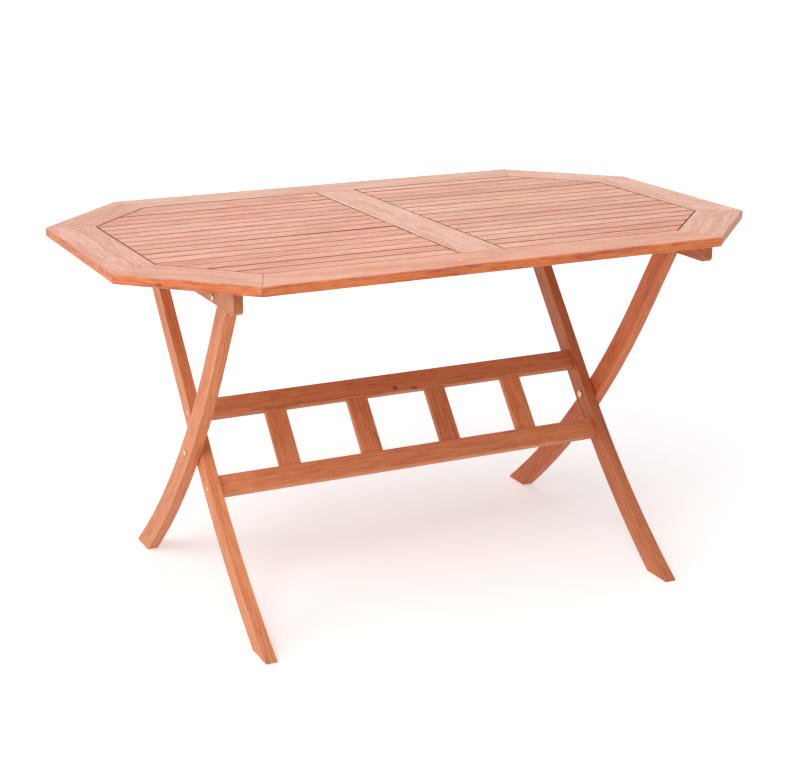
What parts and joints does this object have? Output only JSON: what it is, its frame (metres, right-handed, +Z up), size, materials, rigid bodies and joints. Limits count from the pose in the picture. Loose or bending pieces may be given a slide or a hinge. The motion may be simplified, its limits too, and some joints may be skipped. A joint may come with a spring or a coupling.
{
  "type": "outdoor dining table",
  "caption": "Folding wooden garden table: long octagonal slatted top on crossed bowed legs, with a ladder stretcher and bolted hinges.",
  "frame": {"origin": "on the floor, below the middle of the table top", "axes": "+X along the table's length to the right, +Y across it to the rear, +Z up; the outer legs' bolts are at the front, -Y"},
  "size_m": [1.35, 0.865, 0.739],
  "materials": {
    "top_wood": "oiled, sun-bleached satin",
    "frame_wood": "oiled satin",
    "brass": "plain turned brass"
  },
  "bodies": {
    "outer_legs": {"outer_leg_left": "frame_wood", "outer_leg_right": "frame_wood", "hinge_bolt_left": "brass", "hinge_bolt_right": "brass", "pivot_bolt_left": "brass", "pivot_bolt_right": "brass"},
    "tabletop": {"edge_board_front": "top_wood", "edge_board_rear": "top_wood", "edge_board_left": "top_wood", "edge_board_right": "top_wood", "corner_board_front_left": "top_wood", "corner_board_front_right": "top_wood", "corner_board_rear_left": "top_wood", "corner_board_rear_right": "top_wood", "centre_board": "top_wood", "slat_left_01": "top_wood", "slat_left_02": "top_wood", "slat_left_03": "top_wood", "slat_left_04": "top_wood", "slat_left_05": "top_wood", "slat_left_06": "top_wood", "slat_left_07": "top_wood", "slat_left_08": "top_wood", "slat_left_09": "top_wood", "slat_left_10": "top_wood", "slat_left_11": "top_wood", "slat_left_12": "top_wood", "slat_left_13": "top_wood", "slat_left_14": "top_wood", "slat_left_15": "top_wood", "slat_left_16": "top_wood", "slat_left_17": "top_wood", "slat_right_01": "top_wood", "slat_right_02": "top_wood", "slat_right_03": "top_wood", "slat_right_04": "top_wood", "slat_right_05": "top_wood", "slat_right_06": "top_wood", "slat_right_07": "top_wood", "slat_right_08": "top_wood", "slat_right_09": "top_wood", "slat_right_10": "top_wood", "slat_right_11": "top_wood", "slat_right_12": "top_wood", "slat_right_13": "top_wood", "slat_right_14": "top_wood", "slat_right_15": "top_wood", "slat_right_16": "top_wood", "slat_right_17": "top_wood", "batten_left": "frame_wood", "batten_right": "frame_wood"},
    "inner_legs": {"inner_leg_left": "frame_wood", "inner_leg_right": "frame_wood", "crossbar": "frame_wood", "upper_rail": "frame_wood", "lower_rail": "frame_wood", "ladder_slat_01": "frame_wood", "ladder_slat_02": "frame_wood", "ladder_slat_03": "frame_wood", "ladder_slat_04": "frame_wood"}
  },
  "joints": [
    {"name": "top_hinge", "type": "hinge", "parent": "outer_legs", "child": "tabletop", "pos_m": [0, -0.26001, 0.6865], "axis": [1, 0, 0], "range_deg": [0, 120]},
    {"name": "leg_pivot", "type": "hinge", "parent": "outer_legs", "child": "inner_legs", "pos_m": [0, -0.0036, 0.3105], "axis": [1, 0, 0], "range_deg": [0, 60]}
  ],
  "couplings": [
    {"joint": "leg_pivot", "follows": "top_hinge", "ratio": 0.5}
  ]
}
